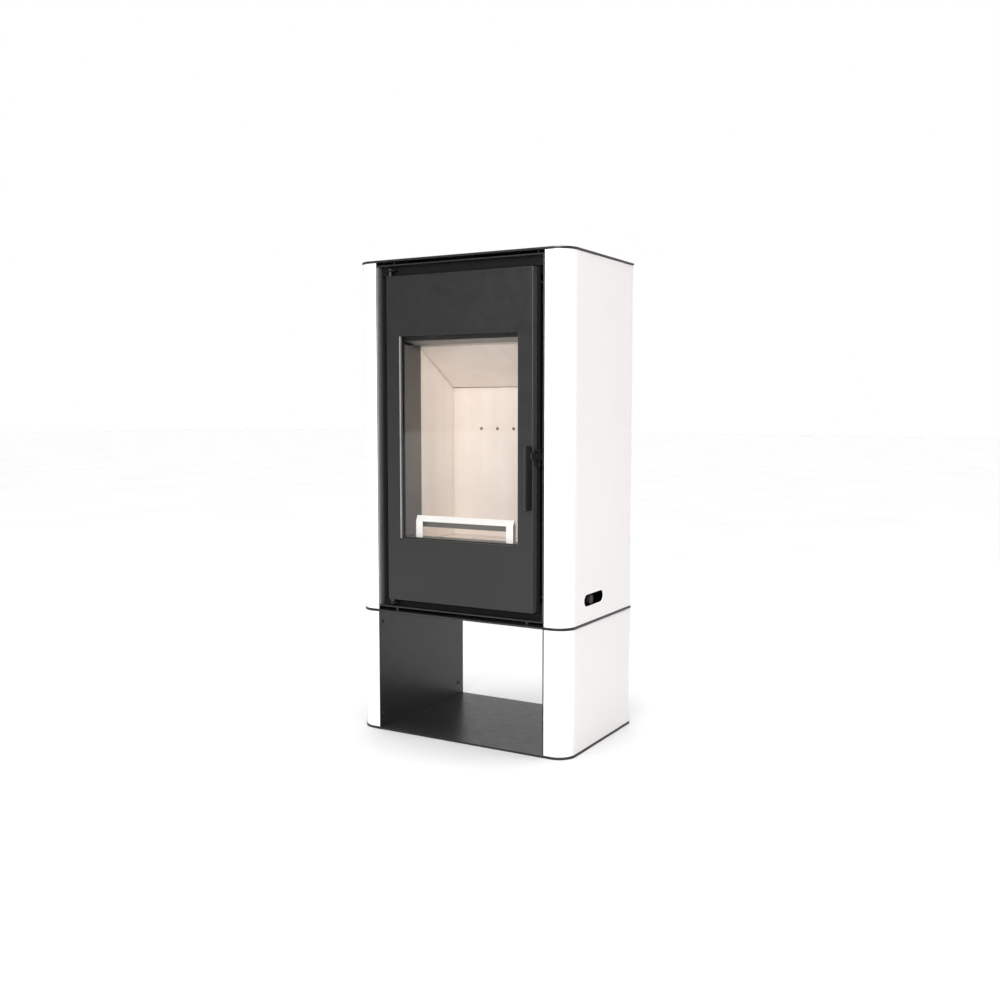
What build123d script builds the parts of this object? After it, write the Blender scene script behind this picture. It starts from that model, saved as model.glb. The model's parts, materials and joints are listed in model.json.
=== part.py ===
from build123d import *
import os

# Wood burning stove, built as separate pieces. Millimetres, +Z up, front faces -Y.
# The origin is the middle of the footprint, on the floor.

# ---- driving dimensions -------------------------------------------------
WIDTH = 560.0            # over the top plate
HEIGHT = 1107.0          # floor to the top of the top plate
FRONT_Y = -171.5         # front edge of the three plates
PLATE_DEPTH = 343.0      # front to back of the plates at the side panels
BODY_BACK_Y = 204.5      # back of the inner body, behind the side panels
CORNER_R = 42.0          # front corners in plan
PLATE_T = 4.5            # top, middle and base plate
MID_Z = 286.0            # underside of the middle plate

PANEL_INSET = 1.5        # panels stand inside the plates' outline
PANEL_T = 2.5
PANEL_GAP = 1.0          # shadow gap between a panel and the plates
PANEL_FRONT_X = 221.0    # where a panel's front face ends
PANEL_FLANGE_X = 222.0   # inner end of a panel's rear flange
PANEL_SCREW_X = 240.0

WALL_X = 220.5           # outside of the log store and the casing walls
SHEET = 2.0              # casing sheet
BODY_T = 3.0             # top and bottom plate of the inner body
BODY_TOP_Z = 1095.0      # upper face of the body's top plate
BODY_LOW_Z = 299.5       # lower face of the body's bottom plate

DOOR_HALF = 192.3        # half width
DOOR_LOW = 318.3
DOOR_HIGH = 1069.0
DOOR_Y = -170.2          # front face of the door
DOOR_DEPTH = 21.0
DOOR_T = 5.0             # front plate
RETURN_T = 3.0           # folded edges
GLASS_HALF = 156.4       # half width of the glass opening
GLASS_LOW = 465.0
GLASS_HIGH = 931.0
GLASS_T = 4.0
GASKET_T = 1.5

FRAME_Y = -146.5         # front face of the frame that the door closes on
FRAME_T = 4.0
STRIP_DEPTH = 5.5        # the strips above and below the door stand this far out
FIRE_HALF = 160.0        # fire opening in that frame
FIRE_LOW = 466.0
FIRE_HIGH = 921.5
ASH_HALF = 150.0         # ash pan opening in that frame
ASH_LOW = 352.0          # level with the firebox floor, so the pan slides out
ASH_HIGH = 416.0

HINGE_X = -186.0
HINGE_Y = -161.0
HINGE_R = 4.0
RUN_CLEAR = 0.05         # radial clearance of a running fit

LATCH_X = 203.0          # upright spindle of the handle
LATCH_Y = -159.0
LATCH_R = 3.5
HANDLE_Z = 663.0         # height of the handle's arm
HANDLE_LOW = 545.0
HANDLE_HIGH = 686.0
HANDLE_X = 187.5         # left face of the handle plate
HANDLE_T = 5.5
HANDLE_FRONT = -204.5
HANDLE_BACK = -173.7

SLOT_Y = -36.0           # middle of the air slot in the right panel
SLOT_Z = 340.0
SLOT_LEN = 102.0
SLOT_H = 27.0
KNOB_Y = -51.0           # knob at rest
KNOB_R = 10.0
KNOB_FACE_X = 279.5
ROD_R = 4.0

FIRE_X = 194.5           # inside of the firebox's steel sides
FIRE_T = 3.0
REVEAL_BACK_Y = -120.0   # where the strips beside the door meet the casing walls
FIRE_BACK_Y = 141.0
FIRE_TOP_Z = 1036.0
FIRE_BOTTOM_Z = ASH_LOW  # upper face of the firebox's bottom plate
LINING_X = 174.0         # inner face of the side lining
LINING_T = 25.0
LINING_FRONT_Y = -57.0
LINING_BACK_Y = 90.0     # inner face of the back lining
LINING_TOP_Z = 818.0     # top of the back lining
LINING_FRONT_Z = 911.0   # top of the side lining at its front
WASH_BACK_Y = -95.0      # rear lip of the air wash deflector
WASH_DROP = 6.5
HEARTH_Z = 448.0         # top of the floor lining
DECK_Z = 423.0           # upper face of the steel deck under the floor lining
GRATE_HALF = 87.0        # opening for the grate in that deck's lining
GRATE_FRONT_Y = -73.0
GRATE_BACK_Y = 45.0
GUARD_HALF = 130.0       # half length of the log guard
GUARD_RISE = 38.5        # foot to the edges of its folded top
ROPE_BACK_Y = -147.2
SEAL_HALF = 176.0        # outside of the rope seal
SEAL_INSET = 20.0        # seal to the door's lower and upper edges
HOLE_Z = 716.5           # row of air holes in the back lining
HOLE_STEP = 46.0
HOLE_R = 4.2

DUCT_HALF = 112.5        # slot for the secondary air duct, behind the lining
DUCT_Y = 115.0
DUCT_TOP_Z = 740.0
PORT_X0 = 100.0          # primary air ports, under the slider
PORT_X1 = 166.0

FLUE_Y = 60.0
FLUE_R = 75.0            # bore for a 150 mm flue pipe
FLUE_WALL = 6.0
FLUE_TOP_Z = 1104.5
FLUE_SOCKET = 46.0       # depth that the pipe goes in

PAN_HALF = 140.0         # half width of the ash pan
PAN_FRONT_Y = -134.0
PAN_BACK_Y = 70.0
PAN_TOP_Z = 406.0
PANE_HALF = 166.0        # half width of the glass pane

AIR_BOX_X = (-120.0, 196.0)
AIR_BOX_Y = (-110.0, 139.0)
AIR_BOX_TOP_Z = 330.0
PORT_FRONTS = (-96.0, -56.0)     # front edges of the two air ports
PORT_LEN = 22.0
PLATE_LEN = 66.0         # front to back of the slider's plate
PLATE_AHEAD = 43.0       # from the knob's axis to the plate's front edge
KNOB_LEN = 20.0
KNOB_SOCKET = 12.0       # depth of the rod's end below the knob's face

EPS = 0.5                # plain assembly gap between pieces that are not fixed
SCREW_R = 2.0
SCREW_HEAD_R = 4.5
SPACER_R = 5.5
PANEL_SCREW_ZS = (40, 240, 420, 700, 1050)
SHIELD_SCREW_ZS = (325, 510, 700, 890, 1070)
BRACKET_ZS = (30, 255, 400, 1060)

FRAME_BACK_Y = FRAME_Y + FRAME_T
BODY_IN_TOP = BODY_TOP_Z - BODY_T
BODY_IN_LOW = BODY_LOW_Z + BODY_T
REAR_PANEL_Y = BODY_BACK_Y - 6.5
PLATE_BACK_Y = FRONT_Y + PLATE_DEPTH
PANEL_BACK_Y = PLATE_BACK_Y - 3
DOOR_BACK_Y = DOOR_Y + DOOR_DEPTH
SIDES = ((-1, "left"), (1, "right"))


# ---- helpers ------------------------------------------------------------
def block(x0, x1, y0, y1, z0, z1):
    """A rectangular block between two opposite corners, given in any order."""
    centre = Pos((x0 + x1) / 2, (y0 + y1) / 2, (z0 + z1) / 2)
    return centre * Box(abs(x1 - x0), abs(y1 - y0), abs(z1 - z0))


def upright(x, y, z0, z1, radius):
    """A cylinder along Z."""
    return Pos(x, y, (z0 + z1) / 2) * Cylinder(radius, z1 - z0)


def bar_x(x0, x1, y, z, radius):
    """A cylinder along X."""
    return Pos((x0 + x1) / 2, y, z) * Rot(0, 90, 0) * Cylinder(radius, abs(x1 - x0))


def bar_y(x, y0, y1, z, radius):
    """A cylinder along Y."""
    return Pos(x, (y0 + y1) / 2, z) * Rot(90, 0, 0) * Cylinder(radius, abs(y1 - y0))


def area(x0, x1, y0, y1):
    """A flat rectangle in plan."""
    return Pos((x0 + x1) / 2, (y0 + y1) / 2) * Rectangle(abs(x1 - x0), abs(y1 - y0))


def plan(inset, back_y):
    """The stove's plan: a rectangle whose two front corners are round."""
    half = WIDTH / 2 - inset
    sheet = area(-half, half, FRONT_Y + inset, back_y)
    return fillet(sheet.vertices().group_by(Axis.Y)[0], CORNER_R - inset)


def slab(sketch, z0, z1):
    """A flat sketch given thickness between two heights."""
    return Pos(0, 0, z0) * extrude(sketch, z1 - z0)


def prism_x(points, x0, x1):
    """A (y, z) outline given length along X."""
    face = Plane.YZ * make_face(Polyline(*points, close=True))
    return Pos(min(x0, x1), 0, 0) * extrude(face, abs(x1 - x0))


def ring(x_out, x_in, z_out, z_in, y0, y1):
    """A rectangular ring in the front plane; z_out and z_in are (low, high)."""
    outer = block(-x_out, x_out, y0, y1, z_out[0], z_out[1])
    return outer - block(-x_in, x_in, y0 - 1, y1 + 1, z_in[0], z_in[1])


def save(name, *solids):
    """Write one node; several solids share a node when they are alike."""
    shape = solids[0] if len(solids) == 1 else Compound(children=list(solids))
    export_step(shape, os.path.join("parts", name + ".step"))


# ---- outer casing -------------------------------------------------------
def plate_sketch():
    """Outline of the three plates, with the body's width carried further back."""
    return plan(0, PLATE_BACK_Y) + area(-WALL_X, WALL_X, 0, BODY_BACK_Y)


def make_plates():
    top = slab(plate_sketch(), HEIGHT - PLATE_T, HEIGHT)
    top -= upright(0, FLUE_Y, HEIGHT - 10, HEIGHT + 10, FLUE_R + FLUE_WALL + 2)
    top = fillet(top.faces().sort_by(Axis.Z)[-1].outer_wire().edges(), 0.8)
    save("top_plate", top)
    middle = slab(plate_sketch(), MID_Z, MID_Z + PLATE_T)
    save("middle_plate", middle)
    save("base_plate", slab(plate_sketch(), 0, PLATE_T))


def panel(side, z0, z1):
    """White side panel: flat side, round front corner, short rear flange."""
    back = PANEL_BACK_Y
    skin = plan(PANEL_INSET, back) - plan(PANEL_INSET + PANEL_T, back - PANEL_T)
    keep = area(side * PANEL_FRONT_X, side * WIDTH, FRONT_Y - 1, 0)
    keep += area(side * PANEL_FLANGE_X, side * WIDTH, 0, back + 1)
    shell = slab(skin & keep, z0, z1)
    for x, z in panel_screw_places():
        if x * side > 0 and z0 < z < z1:
            shell -= bar_y(x, back - PANEL_T - 1, back + 1, z, SCREW_R)
    return shell


def air_slot(x0, x1, length, height):
    """The oblong opening in front of the air control, as a cutting body."""
    shape = Plane.YZ * Pos(SLOT_Y, SLOT_Z) * SlotOverall(length, height)
    return Pos(x0, 0, 0) * extrude(shape, x1 - x0)


def make_panels():
    upper = (MID_Z + PLATE_T + PANEL_GAP, HEIGHT - PLATE_T - PANEL_GAP)
    lower = (PLATE_T + PANEL_GAP, MID_Z - PANEL_GAP)
    for side, name in SIDES:
        shell = panel(side, *upper)
        if side > 0:
            shell -= air_slot(WALL_X + 20, WIDTH, SLOT_LEN, SLOT_H)
        save("upper_panel_" + name, shell)
        save("lower_panel_" + name, panel(side, *lower))


def make_panel_brackets():
    """Angles that carry the panels off the inner walls."""
    brackets = []
    for side, _ in SIDES:
        outer = side * (WIDTH / 2 - PANEL_INSET - PANEL_T)
        for z in BRACKET_ZS:
            inner = side * (WALL_X if z < MID_Z else WALL_X - 1)
            for y in (-90, 130):
                brackets.append(block(inner, outer, y, y + 20, z, z + SHEET))
    save("panel_brackets", *brackets)


def panel_screw_places():
    """Centres of the screws in the panels' rear flanges."""
    return [(side * PANEL_SCREW_X, z) for side, _ in SIDES for z in PANEL_SCREW_ZS]


def shield_screw_places():
    """Centres of the screws down both edges of the rear heat shield."""
    return [(side * (WALL_X - 12), z) for side, _ in SIDES for z in SHIELD_SCREW_ZS]


def make_rear_screws():
    """Pan head screws in the panels' rear flanges and the rear heat shield."""
    rows = ((panel_screw_places(), PANEL_BACK_Y), (shield_screw_places(), REAR_PANEL_Y + SHEET))
    screws = []
    for places, face in rows:
        for x, z in places:
            shank = bar_y(x, face - 8, face, z, SCREW_R)
            screws.append(shank + bar_y(x, face, face + 2.5, z, SCREW_HEAD_R))
    save("rear_screws", *screws)


# ---- log store ----------------------------------------------------------
def make_log_store():
    screws = []
    shank_r = 2.5
    for side, name in SIDES:
        outer = side * WALL_X
        inner = side * (WALL_X - SHEET)
        wall = block(outer, inner, FRONT_Y + 0.5, BODY_BACK_Y - 1, PLATE_T, MID_Z)
        for y in (-158, 180):
            for z in (36, 259):
                wall -= bar_x(inner - side * 3, outer + side * 3, y, z, shank_r + 0.1)
                shank = bar_x(inner, outer + side * 8, y, z, shank_r)
                head = bar_x(inner - side * 2.2, inner, y, z, SCREW_HEAD_R)
                screws.append(shank + head)
        save("store_wall_" + name, wall)
    save("store_wall_screws", *screws)


# ---- inner body ---------------------------------------------------------
def make_body_plates():
    half = WALL_X - 1
    back = REAR_PANEL_Y + SHEET
    sheet = area(-half, half, FRONT_Y + 0.5, back)
    top = slab(sheet, BODY_IN_TOP, BODY_TOP_Z)
    top -= upright(0, FLUE_Y, BODY_IN_TOP - 1, BODY_TOP_Z + 1, FLUE_R + FLUE_WALL + 2)
    save("body_top_plate", top)
    save("body_bottom_plate", slab(sheet, BODY_LOW_Z, BODY_IN_LOW))


def make_spacers():
    """Short collars that hold the top and middle plates clear of the body."""
    rows = ((190, (-138, 170), BODY_TOP_Z, HEIGHT - PLATE_T), (174, (-159, 170), MID_Z + PLATE_T, BODY_LOW_Z))
    collars = []
    for reach, depths, z0, z1 in rows:
        for side, _ in SIDES:
            collars += [upright(side * reach, y, z0, z1, SPACER_R) for y in depths]
    save("plate_spacers", *collars)


def make_casing():
    """Side walls, rear heat shield and its screws."""
    for side, name in SIDES:
        outer = side * (WALL_X - 1)
        inner = side * (WALL_X - 1 - SHEET)
        wall = block(outer, inner, REVEAL_BACK_Y, REAR_PANEL_Y, BODY_IN_LOW, BODY_IN_TOP)
        if side > 0:
            wall -= air_slot(WALL_X - 20, WALL_X + 20, SLOT_LEN - 4, SLOT_H - 8)
        save("casing_side_" + name, wall)
    half = WALL_X - 1
    shield = block(-half, half, REAR_PANEL_Y, REAR_PANEL_Y + SHEET, BODY_IN_LOW, BODY_IN_TOP)
    vent_pitch = 34
    for z in (365, 1010):
        for index in range(-5, 6):
            vent = Plane.XZ * Pos(index * vent_pitch, z) * SlotOverall(60, 9, 90)
            shield -= Pos(0, REAR_PANEL_Y + 10, 0) * extrude(vent, 20)
    for x, z in shield_screw_places():
        shield -= bar_y(x, REAR_PANEL_Y - 1, REAR_PANEL_Y + SHEET + 1, z, SCREW_R)
    save("rear_heat_shield", shield)


def make_front():
    """The frame that the door closes on, and the strips round the door."""
    half = FIRE_X + FIRE_T
    frame = block(-half, half, FRAME_Y, FRAME_BACK_Y, BODY_IN_LOW, BODY_IN_TOP)
    frame -= block(-FIRE_HALF, FIRE_HALF, FRAME_Y - 1, FRAME_BACK_Y + 1, FIRE_LOW, FIRE_HIGH)
    frame -= block(-ASH_HALF, ASH_HALF, FRAME_Y - 1, FRAME_BACK_Y + 1, ASH_LOW, ASH_HIGH)
    save("front_frame", frame)
    inner = WALL_X - 1 - SHEET
    y0 = FRONT_Y + 0.5
    reveals = []
    for side, _ in SIDES:
        lip = area(side * inner, side * WALL_X, y0, y0 + SHEET)
        strip = lip + area(side * inner, side * (WALL_X - 1), y0, REVEAL_BACK_Y)
        bend = strip.vertices().group_by(Axis.Y)[0].sort_by(lambda v: abs(v.X))[0]
        reveals.append(slab(fillet(bend, SHEET - 0.2), BODY_IN_LOW, BODY_IN_TOP))
    save("door_reveals", *reveals)
    reach = inner - EPS
    y0 = FRAME_Y - STRIP_DEPTH
    head_low = DOOR_HIGH + 2.5
    head = block(-reach, reach, y0, y0 + SHEET, head_low, BODY_IN_TOP)
    head += block(-reach, reach, y0, FRAME_Y, head_low, head_low + SHEET)
    save("header_strip", head)
    sill_high = DOOR_LOW - 3
    sill = block(-reach, reach, y0, y0 + SHEET, BODY_IN_LOW, sill_high)
    sill += block(-reach, reach, y0, FRAME_Y, sill_high - SHEET, sill_high)
    save("sill_strip", sill)


def make_hinges():
    """Fixed hinge brackets and the pins that the door turns on."""
    y0 = FRAME_Y - STRIP_DEPTH
    tab_t = 3.0
    upper = DOOR_HIGH + 11.5
    lower = DOOR_LOW - 8.8
    brackets = []
    for z0 in (upper, lower):
        z1 = z0 + tab_t
        tab = area(HINGE_X - 12, HINGE_X + 16, y0, HINGE_Y - 7)
        tab = fillet(tab.vertices().group_by(Axis.Y)[0], 4)
        hole = upright(HINGE_X, HINGE_Y, z0 - 1, z1 + 1, HINGE_R)
        brackets.append(slab(tab, z0, z1) - hole)
    save("hinge_brackets", *brackets)
    reach = 14.0
    head_t = 3.0
    head_r = HINGE_R + 2.5
    over = upper + tab_t
    top = upright(HINGE_X, HINGE_Y, DOOR_HIGH - reach, over, HINGE_R)
    top += upright(HINGE_X, HINGE_Y, over, over + head_t, head_r)
    low = upright(HINGE_X, HINGE_Y, lower, DOOR_LOW + reach, HINGE_R)
    low += upright(HINGE_X, HINGE_Y, lower + tab_t, DOOR_LOW - 0.4, HINGE_R + 3)
    low += upright(HINGE_X, HINGE_Y, lower - head_t, lower, head_r)
    save("hinge_pins", top, low)


def make_catch():
    """Catch on the right reveal, above the path of the latch nose."""
    wall = WALL_X - 1 - SHEET
    face = wall - 3
    z0 = HANDLE_Z + 13
    height = 26
    body = block(face, wall, LATCH_Y - 7, LATCH_Y + 10, z0, z0 + height)
    nose = bar_x(face - 4, face, LATCH_Y + 3, z0 + height / 2, 3.5)
    save("door_catch", body + nose)


# ---- firebox ------------------------------------------------------------
def make_firebox():
    outer = FIRE_X + FIRE_T
    walls = []
    for side, _ in SIDES:
        walls.append(block(side * FIRE_X, side * outer, FRAME_BACK_Y, FIRE_BACK_Y, FIRE_BOTTOM_Z, FIRE_TOP_Z))
    save("firebox_sides", *walls)
    save("firebox_back", block(-outer, outer, FIRE_BACK_Y, FIRE_BACK_Y + FIRE_T, FIRE_BOTTOM_Z, FIRE_TOP_Z))
    top = block(-outer, outer, FRAME_BACK_Y, FIRE_BACK_Y + FIRE_T, FIRE_TOP_Z, FIRE_TOP_Z + FIRE_T)
    top -= upright(0, FLUE_Y, FIRE_TOP_Z - 1, FIRE_TOP_Z + FIRE_T + 1, FLUE_R - 3)
    save("firebox_top", top)
    low = FIRE_BOTTOM_Z - FIRE_T
    bottom = block(-outer, outer, FRAME_BACK_Y, FIRE_BACK_Y + FIRE_T, low, FIRE_BOTTOM_Z)
    bottom -= block(-DUCT_HALF, DUCT_HALF, DUCT_Y, FIRE_BACK_Y, low - 1, FIRE_BOTTOM_Z + 1)
    bottom -= block(PORT_X0, PORT_X1, -92, -36, low - 1, FIRE_BOTTOM_Z + 1)
    save("firebox_bottom", bottom)
    back = LINING_BACK_Y + LINING_T
    hearth = block(-FIRE_X, FIRE_X, FRAME_BACK_Y, back, DECK_Z - FIRE_T, DECK_Z)
    inner = GRATE_HALF - 7
    hearth -= block(-inner, inner, GRATE_FRONT_Y + 7, GRATE_BACK_Y - 7, DECK_Z - 5, DECK_Z + 1)
    save("hearth_plate", hearth)


def make_flue():
    base = FIRE_TOP_Z + FIRE_T
    collar = upright(0, FLUE_Y, base, FLUE_TOP_Z, FLUE_R + FLUE_WALL)
    collar += upright(0, FLUE_Y, base, base + 5, FLUE_R + 20)
    collar -= upright(0, FLUE_Y, FLUE_TOP_Z - FLUE_SOCKET, FLUE_TOP_Z + 1, FLUE_R)
    collar -= upright(0, FLUE_Y, base - 1, FLUE_TOP_Z, FLUE_R - 3)
    rim = collar.edges().filter_by(GeomType.CIRCLE).group_by(Axis.Z)[-1]
    save("flue_collar", fillet(rim, 1.2))


def make_fire_opening():
    """Steel strips that run back from the fire opening to the lining."""
    y0 = FRAME_BACK_Y
    y1 = LINING_FRONT_Y - 1
    cheeks = []
    for side, _ in SIDES:
        line = [(side * FIRE_HALF, y0), (side * (LINING_X - 1.5), y1),
                (side * (LINING_X + 1.5), y1), (side * (FIRE_HALF + 3), y0)]
        cheeks.append(slab(make_face(Polyline(*line, close=True)), FIRE_LOW, FIRE_HIGH - WASH_DROP - EPS))
    save("fire_cheeks", *cheeks)
    lip = FIRE_HIGH - WASH_DROP
    up = FIRE_HIGH + 14
    wash = [(y0, FIRE_HIGH), (WASH_BACK_Y, lip), (WASH_BACK_Y, lip + 3), (WASH_BACK_Y - 5, up),
            (WASH_BACK_Y - 8, up), (WASH_BACK_Y - 3.5, lip + 4), (y0, FIRE_HIGH + 3)]
    save("air_wash_deflector", prism_x(wash, -FIRE_HALF, FIRE_HALF))
    save("fire_sill", block(-FIRE_HALF, FIRE_HALF, y0, -112, FIRE_LOW - 4, FIRE_LOW))


def make_lining():
    """Fire brick lining: sides with a sloping top, back, baffle and floor."""
    outer = FIRE_X - EPS
    back_face = LINING_BACK_Y + LINING_T
    profile = [(LINING_FRONT_Y, HEARTH_Z), (back_face, HEARTH_Z), (back_face, LINING_TOP_Z),
               (LINING_BACK_Y, LINING_TOP_Z), (LINING_FRONT_Y, LINING_FRONT_Z)]
    for side, name in SIDES:
        save("lining_" + name, prism_x(profile, side * LINING_X, side * outer))
    reach = LINING_X - EPS
    back = block(-reach, reach, LINING_BACK_Y, back_face, HEARTH_Z, LINING_TOP_Z)
    for x in air_hole_places():
        back -= bar_y(x, LINING_BACK_Y - 1, back_face + 1, HOLE_Z, HOLE_R)
    save("lining_back", back)
    low = LINING_TOP_Z + 1.5
    high = LINING_FRONT_Z + 1.5
    board = [(LINING_FRONT_Y, high), (LINING_BACK_Y, low), (back_face - 3, low),
             (back_face - 3, low + 22), (LINING_BACK_Y + 8, low + 22), (LINING_FRONT_Y, high + 26)]
    save("baffle_board", prism_x(board, -outer, outer))
    front = FRAME_BACK_Y + EPS
    top = HEARTH_Z - EPS
    split = GRATE_HALF + EPS
    bricks = [block(side * (split + EPS), side * outer, front, back_face, DECK_Z, top) for side, _ in SIDES]
    bricks.append(block(-split, split, front, GRATE_FRONT_Y - 1, DECK_Z, top))
    bricks.append(block(-split, split, GRATE_BACK_Y + 1, back_face, DECK_Z, top))
    save("floor_bricks", *bricks)
    save("smoke_deflector", block(-FIRE_X, FIRE_X, -30, FIRE_BACK_Y, 975, 978))


def air_hole_places():
    """Positions across the stove of the row of air holes."""
    return [index * HOLE_STEP for index in range(-2, 3)]


def make_grate():
    """Cast grate: a frame with slots across it, resting on the deck."""
    x = GRATE_HALF - EPS
    y0 = GRATE_FRONT_Y + EPS
    y1 = GRATE_BACK_Y - EPS
    grate = block(-x, x, y0, y1, DECK_Z, DECK_Z + 18)
    grate -= block(-x + 9, x - 9, y0 + 9, y1 - 9, DECK_Z - 1, DECK_Z + 10)
    pitch = 17
    for index in range(9):
        slot = Pos((index - 4) * pitch, (y0 + y1) / 2) * SlotOverall(92, 8, 90)
        grate -= slab(slot, DECK_Z - 1, DECK_Z + 19)
    save("grate", grate)


def make_ash_pan():
    """Open tray with a folded pull across its front."""
    z0, z1 = FIRE_BOTTOM_Z, PAN_TOP_Z
    pan = block(-PAN_HALF, PAN_HALF, PAN_FRONT_Y, PAN_BACK_Y, z0, z1)
    x = PAN_HALF - SHEET
    pan -= block(-x, x, PAN_FRONT_Y + SHEET, PAN_BACK_Y - SHEET, z0 + SHEET, z1 + 1)
    half = 45
    edge = PAN_FRONT_Y - 5
    pull = block(-half, half, edge, PAN_FRONT_Y, z1 - 16, z1 - 16 + SHEET)
    pull += block(-half, half, edge, edge + SHEET, z1 - 24, z1 - 14)
    save("ash_pan", pan + pull)


def make_log_guard():
    """Folded stainless guard that stands on the sill behind the glass."""
    t = 1.5
    y0 = FRAME_Y + 2
    y1 = y0 + 12
    ridge = (y0 + y1) / 2
    foot = FIRE_LOW
    brow = foot + GUARD_RISE
    peak = brow + 13
    leg = GUARD_HALF - 18
    front = block(-GUARD_HALF, GUARD_HALF, y0, y0 + t, foot, brow)
    front -= block(-leg, leg, y0 - 1, y0 + t + 1, foot - 1, brow - 0.8)
    fold = [(y0, brow - 0.8), (ridge, peak), (y1, brow), (y1, brow - 14),
            (y1 - t, brow - 14), (y1 - t, brow), (ridge, peak - 3), (y0 + t, brow - 0.8)]
    guard = front + prism_x(fold, -GUARD_HALF, GUARD_HALF)
    end = [(y0, foot), (y1, foot), (y1, brow), (ridge, peak), (y0, brow)]
    for side, _ in SIDES:
        guard += prism_x(end, side * GUARD_HALF, side * (GUARD_HALF - t))
    save("log_guard", guard)


# ---- combustion air -----------------------------------------------------
def make_air_box():
    """Air box under the firebox, with two ports under the slider."""
    x0, x1 = AIR_BOX_X
    y0, y1 = AIR_BOX_Y
    z0, z1 = BODY_IN_LOW, AIR_BOX_TOP_Z
    box = block(x0, x1, y0, y1, z0, z1)
    box -= block(x0 + SHEET, x1 - SHEET, y0 + SHEET, y1 - SHEET, z0 - 1, z1 - SHEET)
    for y in PORT_FRONTS:
        box -= block(PORT_X0, PORT_X1, y, y + PORT_LEN, z1 - SHEET - 1, z1 + 1)
    x = DUCT_HALF - EPS - SHEET
    y0 = DUCT_Y + EPS
    y1 = FIRE_BACK_Y - EPS
    box -= block(-x, x, y0 + SHEET, y1 - SHEET, z1 - SHEET - 1, z1 + 1)
    save("air_box", box)
    duct = block(-x - SHEET, x + SHEET, y0, y1, z1, DUCT_TOP_Z)
    duct -= block(-x, x, y0 + SHEET, y1 - SHEET, z1 - 1, DUCT_TOP_Z - SHEET)
    for x in air_hole_places():
        duct -= bar_y(x, y0 - 1, y0 + SHEET + 1, HOLE_Z, HOLE_R)
    save("secondary_air_duct", duct)


def make_air_slider():
    """Plate over the ports, the upright ear at its outer end, the rod and the knob."""
    y0 = KNOB_Y - PLATE_AHEAD
    z0 = AIR_BOX_TOP_Z + EPS
    outer = PORT_X1 + 10
    ear_x = outer - 12
    ear_half = 7
    plate = block(PORT_X0 - 6, outer, y0, y0 + PLATE_LEN, z0, z0 + SHEET)
    plate -= block(PORT_X0 + 4, PORT_X1, y0 + 28, y0 + 44, z0 - 1, z0 + SHEET + 1)
    plate += block(ear_x, outer, KNOB_Y - ear_half, KNOB_Y + ear_half, z0, SLOT_Z + ear_half)
    plate -= bar_x(ear_x - 4, outer + 4, KNOB_Y, SLOT_Z, ROD_R)
    save("air_slider", plate)
    rod_end = KNOB_FACE_X - KNOB_SOCKET
    rod = bar_x(ear_x, rod_end, KNOB_Y, SLOT_Z, ROD_R)
    save("air_slider_rod", rod)
    knob_back = KNOB_FACE_X - KNOB_LEN
    knob = bar_x(knob_back, KNOB_FACE_X, KNOB_Y, SLOT_Z, KNOB_R)
    knob = fillet(knob.edges().filter_by(GeomType.CIRCLE), 1.5)
    knob -= bar_x(knob_back - 1, rod_end, KNOB_Y, SLOT_Z, ROD_R)
    save("air_knob", knob)


# ---- door ---------------------------------------------------------------
def make_door_shell():
    shell = block(-DOOR_HALF, DOOR_HALF, DOOR_Y, DOOR_BACK_Y, DOOR_LOW, DOOR_HIGH)
    uprights = shell.edges().filter_by(Axis.Z).group_by(Axis.Y)[0]
    levels = shell.edges().filter_by(Axis.X).group_by(Axis.Y)[0]
    shell = fillet(uprights + levels, 1.6)
    x = DOOR_HALF - RETURN_T
    shell -= block(-x, x, DOOR_Y + DOOR_T, DOOR_BACK_Y + 1, DOOR_LOW + RETURN_T, DOOR_HIGH - RETURN_T)
    opening = Plane.XZ * Pos(0, (GLASS_LOW + GLASS_HIGH) / 2)
    opening *= RectangleRounded(2 * GLASS_HALF, GLASS_HIGH - GLASS_LOW, 2)
    shell -= Pos(0, DOOR_Y + DOOR_T + 1, 0) * extrude(opening, DOOR_T + 2)
    shell -= upright(HINGE_X, HINGE_Y, DOOR_LOW - 1, DOOR_HIGH + 1, HINGE_R + RUN_CLEAR)
    save("door_shell", shell)
    bushes = []
    for z0 in (DOOR_LOW + RETURN_T, DOOR_HIGH - RETURN_T - 14):
        bush = block(-x, HINGE_X + 8, DOOR_Y + DOOR_T, HINGE_Y + 8, z0, z0 + 14)
        bushes.append(bush - upright(HINGE_X, HINGE_Y, z0 - 1, z0 + 15, HINGE_R + RUN_CLEAR))
    save("hinge_bushes", *bushes)


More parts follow.
